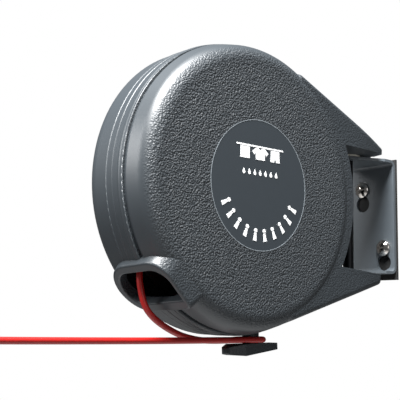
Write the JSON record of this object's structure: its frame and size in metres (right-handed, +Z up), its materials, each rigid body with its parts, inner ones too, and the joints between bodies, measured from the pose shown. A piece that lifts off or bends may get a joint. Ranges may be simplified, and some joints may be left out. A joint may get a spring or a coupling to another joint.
{
  "type": "retractable clothesline",
  "caption": "Round sprung clothesline reel on a swivelling wall bracket, with a wide line mouth, a T-shaped cleat below and a red line ending in a hook.",
  "frame": {"origin": "middle of the two wall screws on the back face of the bracket's plate, where it meets its thin pad", "axes": "+X into the wall, +Z up along the pivot pin, the case's front faces -Y"},
  "size_m": [0.3796, 0.058, 0.2139],
  "materials": {
    "case_plastic": "moulded with a fine pebble grain on the front",
    "label_vinyl": "satin printed film",
    "bracket_paint": "satin powder coat",
    "pad_rubber": "cellular sheet",
    "bright_screw": "bright nickel",
    "pin_steel": "blackened steel",
    "spring_steel": "blued steel",
    "zinc_screw": "zinc plated",
    "nylon": "natural nylon",
    "spool_plastic": "moulded",
    "line_pvc": "smooth coated line"
  },
  "bodies": {
    "wall_mount": {"wall_bracket": "bracket_paint", "wall_pad": "pad_rubber", "wall_screws": "bright_screw", "pivot_pin": "pin_steel", "pin_clip": "spring_steel"},
    "housing": {"front_shell": "case_plastic", "rear_shell": "case_plastic", "label_disc": "label_vinyl", "shell_screws": "zinc_screw", "upper_pivot_bush": "nylon", "lower_pivot_bush": "nylon", "axle": "pin_steel", "front_thrust_washer": "nylon", "rear_thrust_washer": "nylon", "spring_arbor": "nylon", "line_cleat": "case_plastic", "cleat_screw": "zinc_screw", "line_inside": "line_pvc", "free_line": "line_pvc", "line_bead": "case_plastic", "line_hook": "case_plastic"},
    "spool": {"spool_core": "spool_plastic", "spool_cheek": "spool_plastic", "spool_screws": "zinc_screw", "spring_cover": "spool_plastic", "front_spool_bush": "nylon", "rear_spool_bush": "nylon", "mainspring": "spring_steel", "wound_line": "line_pvc"}
  },
  "joints": [
    {"name": "housing_swivel", "type": "hinge", "parent": "wall_mount", "child": "housing", "pos_m": [-0.032, 0, 0], "axis": [0, 0, 1], "range_deg": [-90, 90]},
    {"name": "spool_spin", "type": "hinge", "parent": "housing", "child": "spool", "pos_m": [-0.153, 0, 0.006], "axis": [0, 1, 0], "continuous": true}
  ]
}
